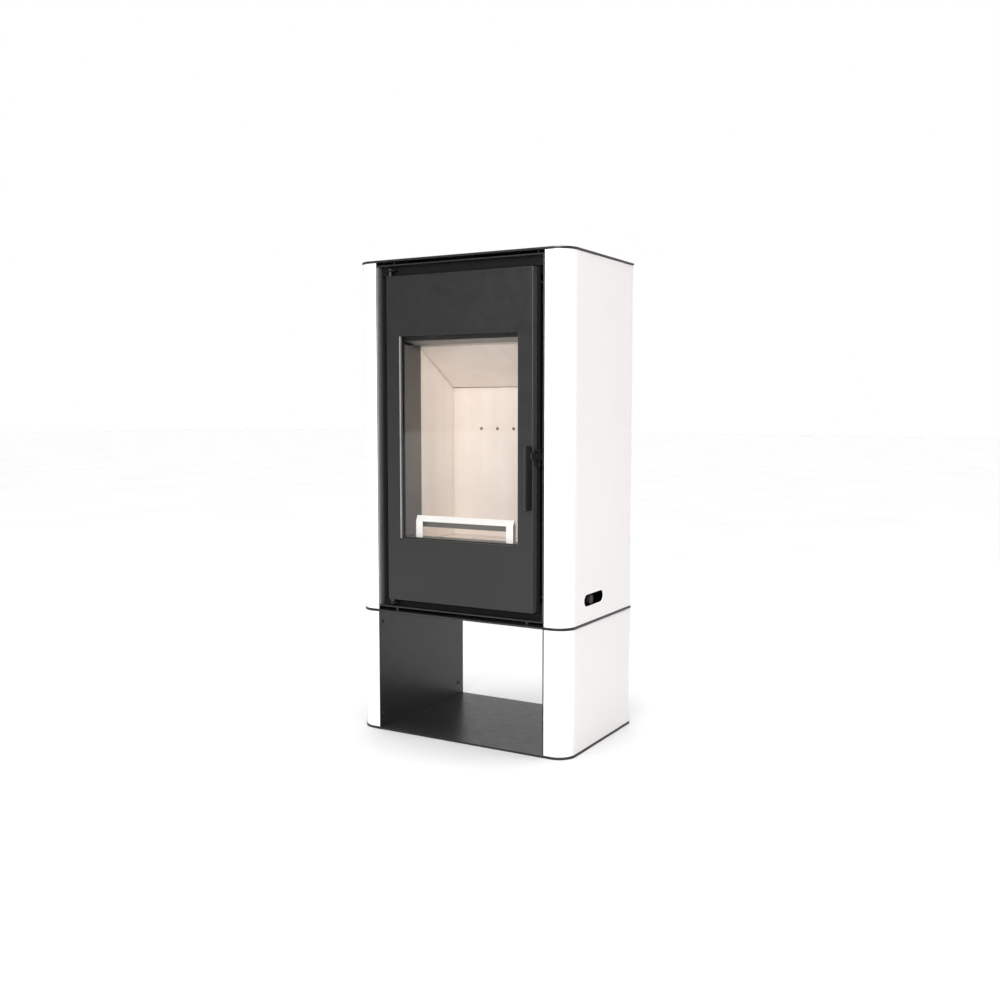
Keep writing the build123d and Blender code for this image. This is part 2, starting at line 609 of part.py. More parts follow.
def make_door_inside():
    """Inner frame, rope seal, glass and what holds the glass."""
    plate_back = DOOR_Y + DOOR_T
    seat_y = plate_back + 8
    low = DOOR_LOW + SEAL_INSET
    high = DOOR_HIGH - SEAL_INSET
    inside = SEAL_HALF - 9.5
    frame = ring(SEAL_HALF, inside, (low, high), (low + 12, high - 12), plate_back, seat_y)
    frame += block(-SEAL_HALF, SEAL_HALF, plate_back, seat_y, 426, 442)
    save("door_inner_frame", frame)
    rope = ring(SEAL_HALF, inside + EPS, (low + EPS, high - EPS), (low + 10, high - 10), seat_y, ROPE_BACK_Y)
    save("door_rope_seal", rope)
    glass_y = plate_back + GASKET_T
    bottom = GLASS_LOW - 10
    top = GLASS_HIGH + 10
    save("door_glass", block(-PANE_HALF, PANE_HALF, glass_y, glass_y + GLASS_T, bottom, top))
    lap = GLASS_HALF - 3.5
    strips = [block(side * lap, side * PANE_HALF, plate_back, glass_y, bottom, top) for side, _ in SIDES]
    strips.append(block(-lap + EPS, lap - EPS, plate_back, glass_y, bottom, GLASS_LOW - 1))
    save("glass_gasket", *strips)
    clips = []
    screws = []
    clip_y = glass_y + GLASS_T
    half = 9
    for x in (-140, -60, 60, 140):
        for pane_edge, out in ((bottom, -1), (top, 1)):
            hook = pane_edge - out * 4
            far = pane_edge + out * 12
            hole_z = pane_edge + out * 6
            clip = block(x - half, x + half, clip_y, clip_y + SHEET, hook, far)
            clip += block(x - half, x + half, plate_back, clip_y + SHEET, pane_edge + out * EPS, far)
            clips.append(clip - bar_y(x, plate_back - 1, clip_y + SHEET + 1, hole_z, SCREW_R))
            head_y = clip_y + SHEET
            screw = bar_y(x, plate_back, head_y, hole_z, SCREW_R)
            screws.append(screw + bar_y(x, head_y, head_y + 2.4, hole_z, 3.8))
    save("glass_clips", *clips)
    save("glass_clip_screws", *screws)


def make_latch():
    """Spindle bearings on the door's edge, the spindle, and the handle."""
    lugs = []
    lug_r = 5
    for z0 in (HANDLE_Z - 19, HANDLE_Z + 10):
        lug = area(DOOR_HALF, LATCH_X + 1, LATCH_Y - lug_r, LATCH_Y + lug_r)
        lug += Pos(LATCH_X, LATCH_Y) * Circle(lug_r)
        lug -= Pos(LATCH_X, LATCH_Y) * Circle(LATCH_R + RUN_CLEAR)
        lugs.append(slab(lug, z0, z0 + 4))
    save("latch_lugs", *lugs)
    foot = HANDLE_Z - 23
    spindle = upright(LATCH_X, LATCH_Y, foot + 1, HANDLE_Z + 16.5, LATCH_R)
    spindle += upright(LATCH_X, LATCH_Y, foot, foot + 3.7, LATCH_R + 1.5)
    save("latch_spindle", spindle)
    low = HANDLE_Z - 7
    high = HANDLE_Z + 7
    grip = block(HANDLE_X, HANDLE_X + HANDLE_T, HANDLE_FRONT, HANDLE_BACK, HANDLE_LOW, HANDLE_HIGH)
    grip = fillet(grip.edges().filter_by(Axis.X), 3)
    grip = fillet(grip.edges().filter_by(Axis.Z).group_by(Axis.Y)[0], 1.6)
    boss = (Pos(LATCH_X, LATCH_Y) * Circle(5.5)).edges()
    arm = make_hull((Pos(HANDLE_X + HANDLE_T, -177) * Circle(2)).edges() + boss)
    nose = make_hull((Pos(LATCH_X + 7.5, LATCH_Y + 6.5) * Circle(2)).edges() + boss)
    hub = slab(arm + nose, low, high) - upright(LATCH_X, LATCH_Y, low - 1, high + 1, LATCH_R)
    save("door_handle", grip + hub)


def main():
    os.makedirs("parts", exist_ok=True)
    make_plates()
    make_panels()
    make_panel_brackets()
    make_rear_screws()
    make_log_store()
    make_body_plates()
    make_spacers()
    make_casing()
    make_front()
    make_hinges()
    make_catch()
    make_firebox()
    make_flue()
    make_fire_opening()
    make_lining()
    make_grate()
    make_ash_pan()
    make_log_guard()
    make_air_box()
    make_air_slider()
    make_door_shell()
    make_door_inside()
    make_latch()


main()
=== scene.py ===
import bmesh
import bpy
import json
import math
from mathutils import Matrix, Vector


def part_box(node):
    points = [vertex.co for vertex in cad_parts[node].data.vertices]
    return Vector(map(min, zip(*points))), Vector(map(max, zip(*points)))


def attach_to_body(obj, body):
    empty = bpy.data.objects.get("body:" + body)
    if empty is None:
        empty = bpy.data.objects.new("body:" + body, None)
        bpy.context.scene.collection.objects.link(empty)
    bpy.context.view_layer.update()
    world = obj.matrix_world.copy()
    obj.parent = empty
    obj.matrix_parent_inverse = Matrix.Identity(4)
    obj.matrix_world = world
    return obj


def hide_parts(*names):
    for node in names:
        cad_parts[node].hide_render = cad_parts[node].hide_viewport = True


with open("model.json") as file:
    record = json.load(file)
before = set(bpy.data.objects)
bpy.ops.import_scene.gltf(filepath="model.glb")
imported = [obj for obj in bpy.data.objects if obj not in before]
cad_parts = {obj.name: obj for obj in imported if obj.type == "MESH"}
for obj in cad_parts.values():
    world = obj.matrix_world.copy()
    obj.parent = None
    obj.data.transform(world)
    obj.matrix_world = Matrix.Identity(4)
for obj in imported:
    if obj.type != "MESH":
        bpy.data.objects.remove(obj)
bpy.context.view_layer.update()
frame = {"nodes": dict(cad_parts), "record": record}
nodes = frame["nodes"]
record = frame["record"]
body_of = {n: b for b, members in record["behaviour"]["bodies"].items() for n in members}
slot_of = {s["node"]: s["material_slot"] for s in record["subparts"]}
scene = bpy.context.scene

# The values of a noise texture lie mostly between these two.
NOISE_LOW = 0.25
NOISE_HIGH = 0.75

# Depths along y at which the reveals' painted shade starts and ends.
REVEAL_FRONT = -0.1715
REVEAL_BACK = -0.125

# Faces with painted light or shade of their own.
LOOKS_UP = 0.3
LOOKS_ALONG = 0.5
GUARD_FOLD = 0.003
HUB_START_X = 0.195
FRAME_EDGE_X = 0.186

# Meshes: points closer than WELD are one point, and faces within FLAT of each other are one face.
WELD = 2e-6
FLAT = math.radians(0.4)
EASED_ANGLE = math.radians(38)

# Fixings.
SCREW_TIP = 0.0005
PIN_R = 0.004
PIN_TIP_R = 0.0034
PIN_TIP = 0.0006
PIN_HEAD_R = 0.0065
PIN_HEAD_EDGE_R = 0.0057
PIN_HEAD = 0.003
SHOULDER_R = 0.007
SHOULDER_EDGE_R = 0.0067
SHOULDER_SEAT = 0.006
SHOULDER_LEN = 0.0054
SMALL_EDGE = 0.0003
DOOR_MIDDLE_Z = 0.5
SPACER_LIP = 0.0014

# Rope seal.
ROPE_WIDTH = 0.0093
ROPE_R = 0.0047
ROPE_BEND = 0.016
ROPE_STEP = 0.0016
ROPE_SIDES = 18
ROPE_STRANDS = 4
ROPE_TWIST = 900
ROPE_RELIEF = 0.045
CORNER_STEPS = 15
CORNER_STEP_DEG = 6

# Studio.
FLOOR_REACH = 30.0
ROOM_FRONT = 0.15
ROOM_BACK = 0.78
ROOM_TURN = 0.35
ROOM_COLOUR = (1.0, 0.995, 0.99, 1.0)
SUN_STRENGTH = 5.5
SUN_WIDTH = math.radians(36)
LENS_MM = 39.10
SENSOR_MM = 36.0
CAMERA_PLACE = (1.3016, -2.2397, 0.7635)
CAMERA_DOWN = math.radians(4.756)
CAMERA_TURN = math.radians(29.907)


# ---- materials ----------------------------------------------------------
def grey(value):
    return (value, value, value)


class Shader:
    """A Principled material whose colour, roughness and bump come from nodes."""

    def __init__(self, name, rough, metal=0.0, **fixed):
        self.mat = bpy.data.materials.new(name)
        self.mat.use_nodes = True
        self.nodes = self.mat.node_tree.nodes
        self.links = self.mat.node_tree.links
        self.bsdf = self.nodes["Principled BSDF"]
        self.bsdf.inputs["Roughness"].default_value = rough
        self.bsdf.inputs["Metallic"].default_value = metal
        for key, value in fixed.items():
            self.bsdf.inputs[key.replace("_", " ")].default_value = value
        self.coords = self.nodes.new("ShaderNodeTexCoord").outputs["Object"]

    def stretched(self, scale):
        node = self.nodes.new("ShaderNodeMapping")
        node.inputs["Scale"].default_value = scale
        self.links.new(self.coords, node.inputs["Vector"])
        return node.outputs["Vector"]

    def noise(self, scale, detail=3.0, rough=0.5, stretch=None):
        node = self.nodes.new("ShaderNodeTexNoise")
        node.inputs["Scale"].default_value = scale
        node.inputs["Detail"].default_value = detail
        node.inputs["Roughness"].default_value = rough
        source = self.coords if stretch is None else self.stretched(stretch)
        self.links.new(source, node.inputs["Vector"])
        return node.outputs["Fac"]

    def cells(self, scale):
        node = self.nodes.new("ShaderNodeTexVoronoi")
        node.inputs["Scale"].default_value = scale
        self.links.new(self.coords, node.inputs["Vector"])
        return node.outputs["Distance"]

    def ramp(self, factor, stops):
        node = self.nodes.new("ShaderNodeValToRGB")
        while len(node.color_ramp.elements) < len(stops):
            node.color_ramp.elements.new(0.5)
        for element, (place, colour) in zip(node.color_ramp.elements, stops):
            element.position = place
            element.color = (*colour, 1.0)
        self.links.new(factor, node.inputs["Fac"])
        return node.outputs["Color"]

    def mixed(self, factor, a, b, mode="MIX"):
        node = self.nodes.new("ShaderNodeMix")
        node.data_type = "RGBA"
        node.blend_type = mode
        for socket, value in ((node.inputs[0], factor), (node.inputs[6], a), (node.inputs[7], b)):
            if isinstance(value, (int, float)):
                socket.default_value = value
            elif isinstance(value, tuple):
                socket.default_value = (*value, 1.0)
            else:
                self.links.new(value, socket)
        return node.outputs[2]

    def spread(self, factor, low, high):
        node = self.nodes.new("ShaderNodeMapRange")
        node.inputs["From Min"].default_value = NOISE_LOW
        node.inputs["From Max"].default_value = NOISE_HIGH
        node.inputs["To Min"].default_value = low
        node.inputs["To Max"].default_value = high
        self.links.new(factor, node.inputs["Value"])
        return node.outputs["Result"]

    def colour(self, socket):
        self.links.new(socket, self.bsdf.inputs["Base Color"])

    def roughness(self, socket):
        self.links.new(socket, self.bsdf.inputs["Roughness"])

    def bump(self, *layers):
        """layers: (height socket, strength, distance in metres)."""
        normal = None
        for height, strength, distance in layers:
            node = self.nodes.new("ShaderNodeBump")
            node.inputs["Strength"].default_value = strength
            node.inputs["Distance"].default_value = distance
            self.links.new(height, node.inputs["Height"])
            if normal is not None:
                self.links.new(normal, node.inputs["Normal"])
            normal = node.outputs["Normal"]
        self.links.new(normal, self.bsdf.inputs["Normal"])


def paint(name, dark, light, rough, grain, depth, coat=0.0, level=0.5):
    """Baked stove paint: a fine grain with slow changes of tone and gloss."""
    s = Shader(name, rough, Coat_Weight=coat, Coat_Roughness=0.25, Specular_IOR_Level=level)
    slow = s.noise(5.0, 4.0)
    fine = s.noise(grain, 2.0)
    tone = s.ramp(slow, [(0.3, dark), (0.7, light)])
    darker = tuple(0.93 * c for c in dark)
    lighter = tuple(min(1, 1.04 * c) for c in light)
    speck = s.ramp(fine, [(0.35, darker), (0.65, lighter)])
    s.colour(s.mixed(0.35, tone, speck))
    s.roughness(s.spread(s.noise(40.0, 5.0), rough - 0.04, rough + 0.05))
    s.bump((fine, 0.35, depth), (s.noise(grain * 3, 1.0), 0.2, depth * 0.5))
    return s.mat


def steel(name, dark, light, rough, stretch, streak=0.00002, metal=1.0):
    """Sheet steel with fine drawn lines along one direction."""
    s = Shader(name, rough, metal)
    lines = s.noise(60.0, 4.0, 0.6, stretch)
    blotch = s.noise(9.0, 4.0)
    drawn = s.ramp(lines, [(0.3, dark), (0.7, light)])
    clouded = s.ramp(blotch, [(0.35, dark), (0.65, light)])
    s.colour(s.mixed(0.5, drawn, clouded))
    s.roughness(s.spread(lines, rough - 0.05, rough + 0.07))
    s.bump((lines, 0.25, streak))
    return s.mat


def fire_board(name="vermiculite_board", tone=1.0):
    """Pressed vermiculite: pale cream, with fine flakes and faint upright marks; tone lightens or darkens the
    cream as painted light or painted shade.
    """
    def cream(*colour):
        return tuple(min(0.95, tone * c) for c in colour)

    s = Shader(name, 0.85)
    slow = s.noise(7.0, 5.0)
    marks = s.noise(26.0, 4.0, 0.55, (1.0, 1.0, 0.05))
    flakes = s.noise(420.0, 3.0, 0.6)
    base = s.ramp(slow, [(0.3, cream(0.82, 0.72, 0.665)), (0.7, cream(0.87, 0.775, 0.72))])
    stripes = s.ramp(marks, [(0.3, cream(0.76, 0.65, 0.59)), (0.7, cream(0.92, 0.83, 0.78))])
    lined = s.mixed(0.4, base, stripes)
    fleck = s.ramp(flakes, [(0.3, cream(0.75, 0.655, 0.60)), (0.5, cream(0.86, 0.765, 0.71)),
                            (0.7, cream(0.91, 0.825, 0.775))])
    s.colour(s.mixed(0.12, lined, fleck))
    s.roughness(s.spread(slow, 0.78, 0.92))
    s.bump((marks, 0.2, 0.0003), (flakes, 0.05, 0.0001), (s.noise(1100.0, 2.0), 0.1, 0.00005))
    return s.mat


def painted_reveal_shade():
    """Grey paint with painted shade that grows darker towards the back of the recess."""
    s = Shader("grey_painted_reveal_shade", 0.45)
    apart = s.nodes.new("ShaderNodeSeparateXYZ")
    s.links.new(s.coords, apart.inputs["Vector"])
    depth = s.nodes.new("ShaderNodeMapRange")
    for socket, value in (("From Min", REVEAL_FRONT), ("From Max", REVEAL_BACK)):
        depth.inputs[socket].default_value = value
    s.links.new(apart.outputs["Y"], depth.inputs["Value"])
    shaded = s.ramp(depth.outputs["Result"], [(0.0, grey(0.34)), (0.22, grey(0.15)), (0.5, grey(0.035)),
                                              (1.0, grey(0.01))])
    cloud = s.noise(60.0, 4.0)
    clouded = s.ramp(cloud, [(0.3, grey(0.6)), (0.7, grey(1.0))])
    s.colour(s.mixed(0.3, shaded, clouded, "MULTIPLY"))
    s.roughness(s.spread(cloud, 0.4, 0.55))
    s.bump((s.noise(900.0, 2.0), 0.3, 0.00004))
    return s.mat


def casting():
    """Sand-cast iron."""
    s = Shader("grey_casting", 0.7, 0.6)
    grit = s.noise(700.0, 4.0)
    rust = s.noise(22.0, 5.0)
    s.colour(s.ramp(rust, [(0.3, (0.045, 0.044, 0.043)), (0.62, (0.075, 0.072, 0.070)),
                           (0.85, (0.11, 0.085, 0.07))]))
    s.roughness(s.spread(grit, 0.6, 0.8))
    s.bump((grit, 0.5, 0.0003), (s.cells(260.0), 0.3, 0.0003))
    return s.mat


def rope_fibre():
    """Graphited glass fibre."""
    s = Shader("rope_fibre", 0.9, Sheen_Weight=0.3)
    fibre = s.noise(1500.0, 3.0, 0.6)
    s.colour(s.ramp(fibre, [(0.3, grey(0.045)), (0.7, (0.16, 0.158, 0.15))]))
    s.roughness(s.spread(fibre, 0.8, 0.95))
    s.bump((fibre, 0.6, 0.0003))
    return s.mat


def tape_fibre():
    """Woven gasket tape."""
    s = Shader("tape_weave", 0.85)
    wave = s.nodes.new("ShaderNodeTexWave")
    wave.inputs["Scale"].default_value = 260.0
    wave.bands_direction = "Z"
    s.links.new(s.coords, wave.inputs["Vector"])
    fibre = s.noise(1100.0, 3.0)
    woven = s.ramp(wave.outputs["Fac"], [(0.2, grey(0.02)), (0.8, (0.05, 0.05, 0.048))])
    threads = s.ramp(fibre, [(0.3, grey(0.025)), (0.7, (0.07, 0.07, 0.068))])
    s.colour(s.mixed(0.4, woven, threads))
    s.roughness(s.spread(fibre, 0.75, 0.9))
    s.bump((wave.outputs["Fac"], 0.2, 0.0001))
    return s.mat


def fire_glass():
    """Clear fire glass: see-through, with a mirror gloss that grows towards grazing angles."""
    s = Shader("fire_glass", 0.03, IOR=1.5)
    haze = s.noise(14.0, 4.0)
    clear = s.nodes.new("ShaderNodeBsdfTransparent")
    tint = s.ramp(haze, [(0.3, (0.955, 0.955, 0.945)), (0.7, (0.975, 0.975, 0.965))])
    s.links.new(tint, clear.inputs["Color"])
    gloss = s.nodes.new("ShaderNodeBsdfGlossy")
    s.links.new(s.spread(haze, 0.01, 0.03), gloss.inputs["Roughness"])
    facing = s.nodes.new("ShaderNodeLayerWeight")
    steep = s.nodes.new("ShaderNodeMath")
    steep.operation = "POWER"
    steep.inputs[1].default_value = 5.0
    s.links.new(facing.outputs["Facing"], steep.inputs[0])
    share = s.nodes.new("ShaderNodeMath")
    share.operation = "MULTIPLY_ADD"
    share.inputs[1].default_value = 0.8
    share.inputs[2].default_value = 0.035
    s.links.new(steep.outputs[0], share.inputs[0])
    blend = s.nodes.new("ShaderNodeMixShader")
    s.links.new(share.outputs[0], blend.inputs[0])
    s.links.new(clear.outputs[0], blend.inputs[1])
    s.links.new(gloss.outputs[0], blend.inputs[2])
    s.links.new(blend.outputs[0], s.nodes["Material Output"].inputs["Surface"])
    s.nodes.remove(s.bsdf)
    return s.mat


def floor_finish():
    """Plain matt studio floor."""
    s = Shader("studio_floor", 0.9)
    soft = s.noise(1.5, 3.0)
    s.colour(s.ramp(soft, [(0.3, grey(0.45)), (0.7, grey(0.47))]))
    s.bsdf.inputs["Specular IOR Level"].default_value = 0.1
    return s.mat


LOOKS = {
    "white_paint": paint("white_satin_paint", dark=(0.80, 0.765, 0.765), light=(0.83, 0.795, 0.795),
                         rough=0.42, grain=700.0, depth=0.00003, coat=0.15),
    "black_paint": paint("black_satin_paint", dark=grey(0.012), light=grey(0.016),
                         rough=0.32, grain=1300.0, depth=0.00005, level=0.4),
    "firebox_steel": steel("firebox_sheet", dark=grey(0.10), light=(0.15, 0.148, 0.145),
                           rough=0.5, stretch=(1.0, 1.0, 0.25), metal=0.35),
    "vermiculite": fire_board(),
    "stainless": steel("bright_stainless", dark=(0.86, 0.85, 0.84), light=(0.95, 0.94, 0.93),
                       rough=0.36, stretch=(0.05, 1.0, 1.0)),
    "cast_iron": casting(),
    "glass": fire_glass(),
    "glass_fibre": rope_fibre(),
    "blackened_steel": steel("blackened_fixings", dark=grey(0.012), light=grey(0.022),
                             rough=0.5, stretch=(1.0, 1.0, 1.0), metal=0.2),
    "plated_steel": steel("plated_fixings", dark=(0.38, 0.38, 0.39), light=(0.52, 0.52, 0.53),
                          rough=0.32, stretch=(1.0, 1.0, 1.0)),
}
TAPE = tape_fibre()
# Near-black, darker than the stove's own paint: painted shade for recessed parts and the gaps beside the
# door.
RECESS_PAINTED_SHADE = paint("recess_painted_shade", dark=grey(0.003), light=grey(0.005),
                     rough=0.7, grain=900.0, depth=0.00006, level=0.15)
REVEAL_PAINTED_SHADE = painted_reveal_shade()
# Dark grey, lighter than the door's black paint: painted light on the door's side returns.
DOOR_RETURN_PAINTED_LIGHT = paint("door_return_painted_light", dark=grey(0.075), light=grey(0.085),
                   rough=0.4, grain=1300.0, depth=0.00005)
KNOB_BLACK = paint("knob_lacquer", dark=grey(0.01), light=grey(0.013),
                   rough=0.5, grain=1800.0, depth=0.00003, level=0.3)
# Lit and shaded copies of the log guard's steel: painted light on its roof and front, painted shade on its
# lip under the roof.
GUARD_PAINTED_LIGHT = steel("guard_painted_light_steel", dark=(0.80, 0.79, 0.78), light=(0.88, 0.87, 0.86),
                    rough=0.4, stretch=(0.05, 1.0, 1.0), metal=0.25)
GUARD_PAINTED_SHADE = steel("guard_painted_shade_steel", dark=(0.10, 0.09, 0.085), light=(0.15, 0.135, 0.125),
                     rough=0.4, stretch=(0.05, 1.0, 1.0), metal=0.6)
WASH_SHEET = steel("air_wash_sheet", dark=(0.18, 0.18, 0.178), light=(0.25, 0.248, 0.245),
                   rough=0.45, stretch=(0.1, 1.0, 1.0), metal=0.3)
# The side linings' cream is lightened, painted light; the back lining's is darkened, painted shade.
LIT_SIDE_BOARD = fire_board("vermiculite_side_painted_light", tone=1.14)
SHADED_BACK_BOARD = fire_board("vermiculite_back_painted_shade", tone=0.87)
# Pale steel on the window opening's upright edges: a painted highlight for the light they catch.
WINDOW_EDGE_PAINTED_HIGHLIGHT = steel("window_edge_painted_highlight", dark=grey(0.55), light=grey(0.68),
                    rough=0.4, stretch=(1.0, 1.0, 0.1), metal=0.3)

# Nodes whose finish isn't their slot's; some of these finishes are painted light or shade.
FINISH = {"glass_gasket": TAPE, "air_wash_deflector": WASH_SHEET,
          "lining_left": LIT_SIDE_BOARD, "lining_right": LIT_SIDE_BOARD, "lining_back": SHADED_BACK_BOARD}
# Recessed parts and parts in the gaps get the near-black painted shade.
for node in ("header_strip", "sill_strip", "firebox_sides", "casing_side_left", "casing_side_right",
             "door_catch", "latch_lugs", "door_reveals", "hinge_brackets", "latch_spindle"):
    FINISH[node] = RECESS_PAINTED_SHADE


def finish_of(node):
    return FINISH.get(node, LOOKS[slot_of[node]])


# ---- mesh helpers -------------------------------------------------------
def add_object(name, mesh, material):
    obj = bpy.data.objects.new(name, mesh)
    scene.collection.objects.link(obj)
    mesh.materials.append(material)
    for face in mesh.polygons:
        face.use_smooth = True
    return obj


def attach(obj, body, slot, *replaced):
    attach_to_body(obj, body)
    if replaced:
        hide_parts(*replaced)
    return obj


def clean_mesh(node):
    """The node's shape as a welded mesh with flat areas merged into single faces."""
    source = nodes[node].data
    mesh = bpy.data.meshes.new(node + "_shape")
    mesh.from_pydata([v.co[:] for v in source.vertices], [], [p.vertices[:] for p in source.polygons])
    work = bmesh.new()
    work.from_mesh(mesh)
    bmesh.ops.remove_doubles(work, verts=work.verts, dist=WELD)
    bmesh.ops.dissolve_limit(work, angle_limit=FLAT, verts=work.verts, edges=work.edges)
    work.to_mesh(mesh)
    work.free()
    return mesh


def eased(node, width, segments=2):
    """A finished copy of a node with its edges eased by width metres."""
    obj = add_object(node + "_eased", clean_mesh(node), finish_of(node))
    bevel = obj.modifiers.new("edges", "BEVEL")
    bevel.width = width
    bevel.segments = segments
    bevel.limit_method = "ANGLE"
    bevel.angle_limit = EASED_ANGLE
    bevel.use_clamp_overlap = True
    shade = obj.modifiers.new("shade", "WEIGHTED_NORMAL")
    shade.keep_sharp = True
    return attach(obj, body_of[node], slot_of[node], node)


def repaint(node, look, chosen, cuts=()):
    """Give another finish, here painted light or shade, to the faces of an eased node for which
    chosen(middle, normal) is true.

    cuts: x positions where the faces are split first."""
    mesh = bpy.data.objects[node + "_eased"].data
    if cuts:
        work = bmesh.new()
        work.from_mesh(mesh)
        for x in cuts:
            everything = work.verts[:] + work.edges[:] + work.faces[:]
            bmesh.ops.bisect_plane(work, geom=everything, plane_co=(x, 0, 0), plane_no=(1, 0, 0))
        work.to_mesh(mesh)
        work.free()
    mesh.materials.append(look)
    for face in mesh.polygons:
        if chosen(face.center, face.normal):
            face.material_index = len(mesh.materials) - 1


def turned(rings, place, axis, segments=40):
    """Vertices and faces of a turned shape. rings, from one end to the other: (radius, height), or
    (radius, height, lobes, lobe depth) where the outline isn't round."""
    turn = Vector(axis).to_track_quat("Z", "Y").to_matrix()
    origin = Vector(place)
    points = []
    for radius, height, *lobed in rings:
        lobes, depth = lobed or (0, 0)
        for k in range(segments):
            angle = 2 * math.pi * k / segments
            r = radius * (1 + depth * math.cos(lobes * angle))
            points.append(origin + turn @ Vector((r * math.cos(angle), r * math.sin(angle), height)))
    faces = [tuple(reversed(range(segments)))]
    for i in range(len(rings) - 1):
        for k in range(segments):
            n = (k + 1) % segments
            faces.append((i * segments + k, i * segments + n, (i + 1) * segments + n, (i + 1) * segments + k))
    last = (len(rings) - 1) * segments
    faces.append(tuple(range(last, last + segments)))
    return points, faces


def joined(name, shapes, material, sharp=40):
    """One mesh object from several (points, faces) shapes."""
    points = []
    faces = []
    for some_points, some_faces in shapes:
        base = len(points)
        points += [p[:] for p in some_points]
        faces += [tuple(base + i for i in face) for face in some_faces]
    mesh = bpy.data.meshes.new(name)
    mesh.from_pydata(points, [], faces)
    obj = add_object(name, mesh, material)
    mesh.set_sharp_from_angle(angle=math.radians(sharp))
    return obj


def pan_head(place, axis, radius, height, shank, length):
    """A pan head screw with a six-lobe socket; place is the middle of the head's seat."""
    stem = [(shank * 0.8, -length), (shank, -length + SCREW_TIP), (shank, 0)]
    dome = [(radius * 0.96, 0), (radius, 0.0002), (radius, height * 0.45), (radius * 0.9, height * 0.8),
            (radius * 0.7, height)]
    socket = [(radius * 0.5, height, 6, 0.07), (radius * 0.47, height * 0.94, 6, 0.11),
              (radius * 0.44, height * 0.3, 6, 0.11)]
    return turned(stem + dome + socket, place, axis)


def parts_of(node):
    """The separate solids of a node, each as (lowest corner, highest corner)."""
    work = bmesh.new()
    work.from_mesh(nodes[node].data)
    bmesh.ops.remove_doubles(work, verts=work.verts, dist=WELD)
    seen = set()
    boxes = []
    for start in work.verts:
        if start in seen:
            continue
        stack = [start]
        group = []
        seen.add(start)
        while stack:
            vert = stack.pop()
            group.append(vert.co.copy())
            for edge in vert.link_edges:
                other = edge.other_vert(vert)
                if other not in seen:
                    seen.add(other)
                    stack.append(other)
        low = Vector([min(p[i] for p in group) for i in range(3)])
        high = Vector([max(p[i] for p in group) for i in range(3)])
        boxes.append((low, high))
    work.free()
    return boxes


# ---- sheet metal and boards: eased copies -------------------------------
EASE = {"top_plate": 0.0006, "middle_plate": 0.0006, "base_plate": 0.0006, "door_handle": 0.0006,
        "upper_panel_left": 0.0005, "upper_panel_right": 0.0005, "lower_panel_left": 0.0005,
        "lower_panel_right": 0.0005, "door_shell": 0.0006, "front_frame": 0.0005, "body_top_plate": 0.0004,
        "body_bottom_plate": 0.0004, "store_wall_left": 0.0004, "store_wall_right": 0.0004,
        "rear_heat_shield": 0.0003, "log_guard": 0.0004, "fire_sill": 0.0005, "fire_cheeks": 0.0005,
        "air_wash_deflector": 0.0005, "door_inner_frame": 0.0005, "ash_pan": 0.0004, "grate": 0.0012,
        "lining_left": 0.0012, "lining_right": 0.0012, "lining_back": 0.0012, "baffle_board": 0.0014,
        "floor_bricks": 0.0014, "header_strip": 0.0003, "sill_strip": 0.0003, "door_reveals": 0.0003,
        "hinge_brackets": 0.0004, "latch_lugs": 0.0004, "glass_clips": 0.0004, "flue_collar": 0.0008,
        "door_catch": 0.0005, "door_glass": 0.0004, "casing_side_left": 0.0003, "casing_side_right": 0.0003}
for node, width in EASE.items():
    eased(node, width)
for node, obj in nodes.items():
    for material_slot in obj.material_slots:
        material_slot.link = "OBJECT"
        material_slot.material = finish_of(node)


# ---- faces with painted light or shade of their own ---------------------
glass_low, glass_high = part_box("door_glass")
guard_low, guard_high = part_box("log_guard")
ridge = (guard_low.y + guard_high.y) / 2


def outward(middle, normal):
    """How far a face stands from the stove's middle plane and looks away from it: below 0 looks inwards."""
    return normal.x * middle.x


def reveal_inner(middle, normal):
    return outward(middle, normal) < -0.1


def window_upright(middle, normal):
    beside = abs(middle.x) < glass_high.x and glass_low.z < middle.z < glass_high.z
    return beside and outward(middle, normal) < -0.05


def door_fold(middle, normal):
    return outward(middle, normal) > 0.15


def guard_front(middle, normal):
    return normal.z > LOOKS_UP or (normal.y < -LOOKS_ALONG and middle.y < ridge - GUARD_FOLD)


def guard_inside(middle, normal):
    return abs(normal.x) < LOOKS_ALONG and normal.z < LOOKS_UP and middle.y > ridge


def handle_hub(middle, normal):
    return middle.x > HUB_START_X


def frame_edge(middle, normal):
    return abs(middle.x) > FRAME_EDGE_X


# The reveals' inner faces: grey paint with painted shade, darker deeper in the recess.
repaint("door_reveals", REVEAL_PAINTED_SHADE, reveal_inner)
# The window opening's upright edges: painted highlight.
repaint("door_shell", WINDOW_EDGE_PAINTED_HIGHLIGHT, window_upright)
# The door's outward side returns: painted light.
repaint("door_shell", DOOR_RETURN_PAINTED_LIGHT, door_fold)
# The log guard: painted light on its roof and front, painted shade on its lip.
repaint("log_guard", GUARD_PAINTED_LIGHT, guard_front)
repaint("log_guard", GUARD_PAINTED_SHADE, guard_inside)
# The handle's hub and the front frame's ends, in the gaps beside the door, get the near-black painted shade.
repaint("door_handle", RECESS_PAINTED_SHADE, handle_hub)
repaint("front_frame", RECESS_PAINTED_SHADE, frame_edge, (-FRAME_EDGE_X, FRAME_EDGE_X))


